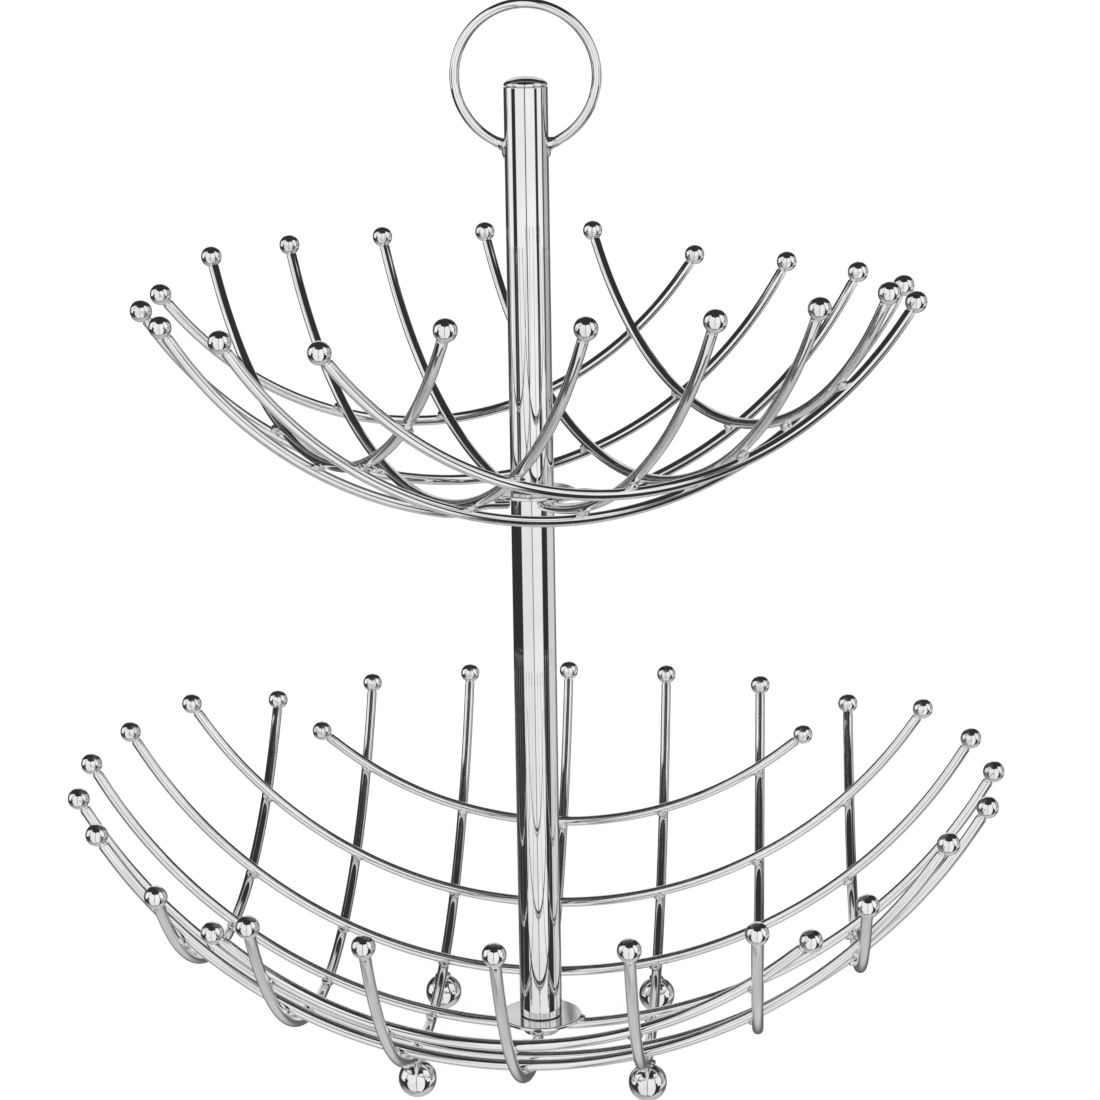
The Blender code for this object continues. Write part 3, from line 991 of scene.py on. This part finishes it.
def add_studio():
    """What the chrome sees: bright walls with dark gaps, a dark ceiling and a grey table.

    It is drawn by direction.  Heights above the horizon are shares of a quarter turn.
    """
    world = bpy.data.worlds.new("studio")
    bpy.context.scene.world = world
    world.use_nodes = True
    tree = world.node_tree
    tree.nodes.clear()

    def maths(operation, first, second=None):
        node = add_node(tree, "ShaderNodeMath", operation=operation)
        for socket, value in zip(node.inputs, (first, second)):
            if isinstance(value, float):
                socket.default_value = value
            elif value is not None:
                tree.links.new(value, socket)
        return node.outputs[0]

    def mix(share, first, second):
        node = add_node(tree, "ShaderNodeMix", data_type="RGBA")
        tree.links.new(share, node.inputs["Factor"])
        tree.links.new(first, node.inputs["A"])
        tree.links.new(second, node.inputs["B"])
        return node.outputs["Result"]

    def plain(grey):
        return add_ramp(tree, height, [(0.0, (grey,) * 3)])

    def above(start, blur):
        blur /= QUARTER_TURN
        values = {"From Min": -blur, "From Max": blur}
        node = add_node(tree, "ShaderNodeMapRange", values, interpolation_type="SMOOTHSTEP")
        tree.links.new(maths("SUBTRACT", height, start), node.inputs["Value"])
        return node.outputs["Result"]

    direction = add_node(tree, "ShaderNodeTexCoord").outputs["Generated"]
    split = add_node(tree, "ShaderNodeSeparateXYZ")
    tree.links.new(direction, split.inputs[0])
    away = maths("MULTIPLY", split.outputs["Y"], -1.0)
    around = maths("ARCTAN2", split.outputs["X"], away)
    camera_angle = math.atan2(CAMERA_PLACE.x, -CAMERA_PLACE.y)
    around = maths("DIVIDE", maths("ADD", around, math.pi - camera_angle), 2.0 * math.pi)
    height = maths("DIVIDE", maths("ARCSINE", split.outputs["Z"]), math.pi / 2.0)

    low_walls = add_ramp(tree, around, bands(LOW_WALLS))
    middle_walls = add_ramp(tree, around, bands(MIDDLE_WALLS))
    high_walls = add_ramp(tree, around, bands(HIGH_WALLS))
    walls = mix(above(WALL_CHANGE / QUARTER_TURN, WALL_BLUR), low_walls, middle_walls)
    walls = mix(above(HIGH_WALL_CHANGE / QUARTER_TURN, HIGH_WALL_BLUR), walls, high_walls)
    ceiling_start = add_ramp(tree, around, slopes(CEILING_EDGE))
    studio = mix(above(ceiling_start, CEILING_BLUR), walls, plain(CEILING_GREY))

    near = add_ramp(tree, around, bands(TABLE_NEAR, TABLE_NEAR_BLUR))
    far = add_ramp(tree, around, bands(TABLE_FAR, TABLE_FAR_BLUR))
    table_start = maths("MULTIPLY", add_ramp(tree, around, slopes(TABLE_EDGE)), -1.0)
    rim_start = maths("SUBTRACT", table_start, TABLE_RIM / QUARTER_TURN)
    table = mix(above(TABLE_CHANGE / QUARTER_TURN, TABLE_CHANGE_BLUR), near, far)
    table = mix(above(rim_start, TABLE_BLUR), table, plain(TABLE_RIM_GREY))
    studio = mix(above(table_start, TABLE_BLUR), table, studio)

    reflected = add_node(tree, "ShaderNodeBackground")
    tree.links.new(studio, reflected.inputs["Color"])
    backdrop = add_node(tree, "ShaderNodeBackground", {"Color": WHITE})
    chooser = add_node(tree, "ShaderNodeMixShader")
    seen = add_node(tree, "ShaderNodeLightPath").outputs["Is Camera Ray"]
    tree.links.new(seen, chooser.inputs[0])
    tree.links.new(reflected.outputs[0], chooser.inputs[1])
    tree.links.new(backdrop.outputs[0], chooser.inputs[2])
    output = add_node(tree, "ShaderNodeOutputWorld")
    tree.links.new(chooser.outputs[0], output.inputs["Surface"])


def add_floor():
    """A pale floor that glows a little, and a soft light from above.

    The chrome sees neither of them: it sees the studio's table instead.
    """
    bm = bmesh.new()
    bmesh.ops.create_grid(bm, x_segments=1, y_segments=1, size=FLOOR_SIZE / 2.0)
    mesh = bpy.data.meshes.new("floor")
    bm.to_mesh(mesh)
    bm.free()
    material, _, shader = new_material("pale_floor")
    shader.inputs["Metallic"].default_value = 0.0
    shader.inputs["Roughness"].default_value = FLOOR_ROUGHNESS
    shader.inputs["Base Color"].default_value = (FLOOR_GREY, FLOOR_GREY, FLOOR_GREY, 1.0)
    shader.inputs["Emission Color"].default_value = WHITE
    shader.inputs["Emission Strength"].default_value = FLOOR_GLOW
    mesh.materials.append(material)
    floor = bpy.data.objects.new("floor", mesh)
    bpy.context.scene.collection.objects.link(floor)
    floor.visible_glossy = False

    data = bpy.data.lights.new("soft_top_light", "SUN")
    data.energy = TOP_LIGHT
    data.angle = math.radians(TOP_LIGHT_ANGLE)
    light = bpy.data.objects.new("soft_top_light", data)
    bpy.context.scene.collection.objects.link(light)
    light.visible_glossy = False


def main():
    """Build the camera, the studio and every piece."""
    add_camera()
    add_studio()
    add_floor()
    bpy.context.scene.view_settings.view_transform = "Standard"

    wire_plate = chrome_plate("wire_plate", WIRE_POLISH, WIRE_PITS)
    ball_plate = chrome_plate("ball_plate", WIRE_POLISH, WIRE_PITS)
    tube_plate = chrome_plate("tube_plate", TUBE_POLISH, TUBE_PITS, lines="lengthwise")
    disc_plate = chrome_plate("disc_plate", DISC_POLISH, DISC_PITS, lines="rings")
    cap_plate = chrome_plate("cap_plate", CAP_POLISH, WIRE_PITS)
    weld_plate = weld_chrome("weld_plate")
    zinc = turned_steel("zinc_plate", ZINC_TONES)
    steel = turned_steel("turned_steel", STEEL_TONES)

    lower = Bowl("lower", "base", 0.0, LOWER_DISH_R, LOWER_RIM_R, LOWER_ROWS, LOWER_SHORT_REACH)
    upper = Bowl("upper", "upper_bowl", UPPER_TURN, UPPER_DISH_R, UPPER_RIM_R, UPPER_ROWS)
    for bowl in (lower, upper):
        bowl.add_wires(wire_plate)
        bowl.add_welds(weld_plate)
        disc = f"{bowl.prefix}_disc"
        add_ring_piece(disc, bowl.body, disc_plate, DISC_HOLE_R, DISC_EDGE_R)
    add_feet(lower, ball_plate, weld_plate)

    add_tube("lower_tube", "base", tube_plate)
    add_tube("upper_tube", "upper_stem", tube_plate)
    plugs = (
        ("lower_tube_bottom_plug", "base"),
        ("lower_tube_top_plug", "base"),
        ("upper_tube_plug", "upper_stem"),
    )
    for node, body in plugs:
        add_ring_piece(node, body, steel, THREAD_HOLE_R, EDGE_R)
    add_base_bolt("base", zinc)
    add_joining_stud("stud", steel)
    add_cap("upper_stem", cap_plate)
    add_ring_handle("upper_stem", wire_plate, weld_plate)


main()
